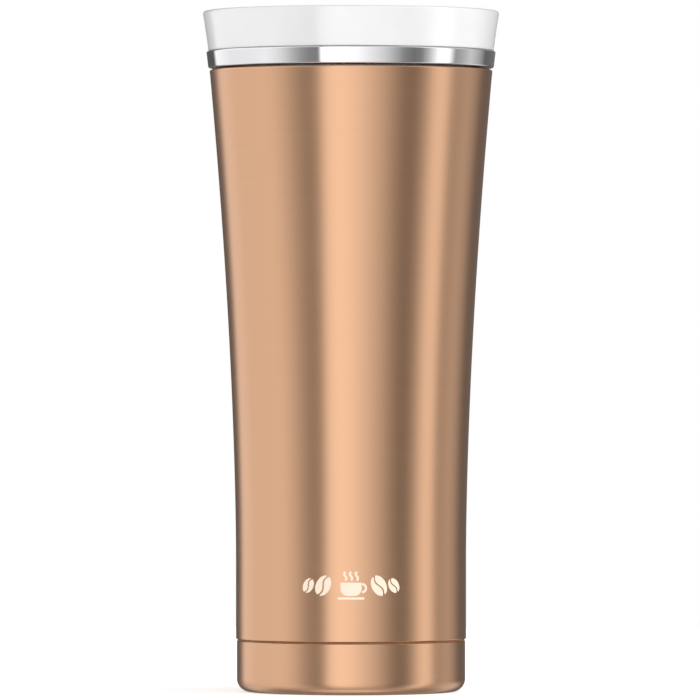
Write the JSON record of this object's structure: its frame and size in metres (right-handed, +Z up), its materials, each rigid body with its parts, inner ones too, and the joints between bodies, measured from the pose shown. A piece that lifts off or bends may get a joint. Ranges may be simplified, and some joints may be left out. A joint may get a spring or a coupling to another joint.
{
  "type": "insulated tumbler with lid",
  "caption": "Double-walled steel drinks tumbler, flared from base to mouth, with a screw-in plastic lid, a polished trim ring and a sliding drink closure.",
  "frame": {"origin": "centre of the foot, on the surface the tumbler stands on", "axes": "+Z up along the body's axis, -Y towards the sip hole (front), +X to the right seen from the front"},
  "size_m": [0.0884, 0.0884, 0.203],
  "materials": {
    "copper_lacquer": "satin copper metallic lacquer over steel",
    "satin_steel": "satin",
    "polished_steel": "polished",
    "foil": "bright foil",
    "getter_alloy": "pressed powder, dull",
    "solder_glass": "fused, glossy",
    "white_plastic": "glossy moulded polypropylene",
    "grip_elastomer": "matt soft-touch",
    "silicone": "translucent silicone, satin"
  },
  "bodies": {
    "tumbler": {"outer_shell": "copper_lacquer", "inner_liner": "satin_steel", "liner_bottom": "satin_steel", "foil_sleeve": "foil", "foil_disc": "foil", "vacuum_bottom": "satin_steel", "getter_cup": "satin_steel", "getter_pellet": "getter_alloy", "seal_bead": "solder_glass", "base_cup": "copper_lacquer"},
    "lid_riser": {"lid_gasket": "silicone"},
    "lid": {"lid_cover": "white_plastic", "lid_plug": "white_plastic", "trim_ring": "polished_steel", "cover_seal": "silicone"},
    "slider": {"slide_button": "white_plastic", "slide_grip": "grip_elastomer", "slide_carriage": "white_plastic", "sip_seal": "silicone", "slot_seal": "silicone", "vent_seal": "silicone"}
  },
  "joints": [
    {"name": "lid_lift", "type": "slide", "parent": "tumbler", "child": "lid_riser", "axis": [0, 0, 1], "range_m": [0, 0.024]},
    {"name": "lid_turn", "type": "hinge", "parent": "lid_riser", "child": "lid", "pos_m": [0, 0, 0.178], "axis": [0, 0, 1], "range_deg": [0, 1440]},
    {"name": "slide_open", "type": "slide", "parent": "lid", "child": "slider", "axis": [0, 1, 0], "range_m": [0, 0.009]}
  ],
  "couplings": [
    {"joint": "lid_lift", "follows": "lid_turn", "m_per_rad": 0.00095493}
  ]
}
